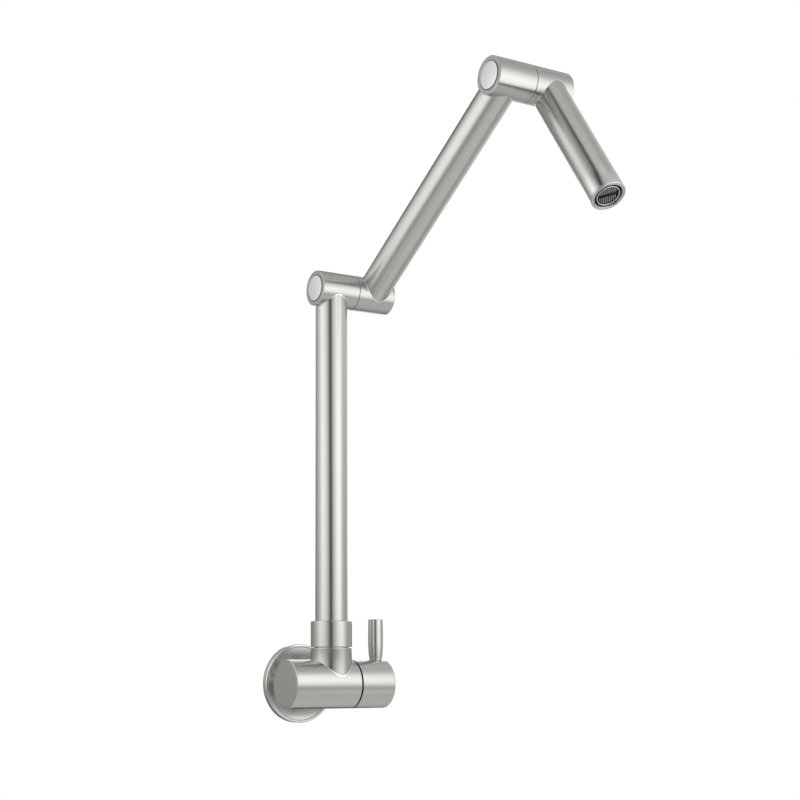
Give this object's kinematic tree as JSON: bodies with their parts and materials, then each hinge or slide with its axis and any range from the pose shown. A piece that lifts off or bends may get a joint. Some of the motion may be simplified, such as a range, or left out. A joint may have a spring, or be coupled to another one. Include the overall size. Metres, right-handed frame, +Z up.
{
  "type": "folding kitchen faucet",
  "caption": "Wall-mounted kitchen faucet: valve body with side lever, swivelling riser, and an arm and spout that fold on hollow barrel joints.",
  "frame": {"origin": "centre of the wall face, where the inlet's axis leaves the wall", "axes": "+Y into the wall along the inlet, +X along the valve body towards its handle, +Z up along the riser"},
  "size_m": [0.1119, 0.2835, 0.417],
  "materials": {
    "body_steel": "brushed round the barrel",
    "tube_steel": "brushed round the tube",
    "end_steel": "fine turned",
    "flange_steel": "pressed and brushed",
    "screw_steel": "plain machined",
    "brass": "machined",
    "ceramic": "polished ceramic",
    "rubber": "satin rubber",
    "acetal": "dark, smooth",
    "black_plastic": "moulded",
    "grille_plastic": "moulded, satin"
  },
  "bodies": {
    "base": {"wall_flange": "flange_steel", "wall_nipple": "brass", "inlet_filter": "rubber", "inlet_stub": "body_steel", "valve_body": "body_steel", "riser_branch": "body_steel", "body_end_plug": "end_steel", "cartridge_housing": "brass", "cartridge_seal": "rubber", "ceramic_disc_fixed": "ceramic", "handle_glide_ring": "rubber", "union_nut": "body_steel", "swivel_washer": "acetal"},
    "handle": {"ceramic_disc_moving": "ceramic", "cartridge_spindle": "brass", "cartridge_o_ring": "rubber", "cartridge_clip": "screw_steel", "handle_sleeve": "body_steel", "handle_lever": "tube_steel", "handle_set_screw": "screw_steel"},
    "riser": {"riser_bush": "brass", "riser_o_rings": "rubber", "riser_tube": "tube_steel", "lower_joint_housing": "body_steel", "lower_joint_cap": "end_steel", "lower_joint_washer": "acetal"},
    "arm": {"lower_joint_spindle": "brass", "lower_joint_o_rings": "rubber", "lower_joint_retainer": "screw_steel", "lower_joint_screw": "screw_steel", "arm_socket": "body_steel", "arm_tube": "tube_steel", "upper_joint_housing": "body_steel", "upper_joint_cap": "end_steel", "upper_joint_washer": "acetal"},
    "spout": {"upper_joint_spindle": "brass", "upper_joint_o_rings": "rubber", "upper_joint_retainer": "screw_steel", "upper_joint_screw": "screw_steel", "spout_socket": "body_steel", "spout_tube": "tube_steel", "nozzle_ring": "end_steel", "aerator_gasket": "rubber", "aerator_body": "black_plastic", "aerator_rim": "end_steel", "aerator_grille": "grille_plastic", "aerator_screen": "screw_steel"}
  },
  "joints": [
    {"name": "handle_turn", "type": "hinge", "parent": "base", "child": "handle", "pos_m": [0.0365, -0.045, 0], "axis": [1, 0, 0], "range_deg": [0, 90]},
    {"name": "riser_swivel", "type": "hinge", "parent": "base", "child": "riser", "pos_m": [0, -0.0464, 0.037], "axis": [0, 0, 1], "range_deg": [-180, 180]},
    {"name": "arm_fold", "type": "hinge", "parent": "riser", "child": "arm", "pos_m": [0.016, -0.0464, 0.27135], "axis": [1, 0, 0], "range_deg": [-56, 124]},
    {"name": "spout_fold", "type": "hinge", "parent": "arm", "child": "spout", "pos_m": [0.048, -0.20392, 0.3776], "axis": [1, 0, 0], "range_deg": [-90.5, 89.5]}
  ]
}
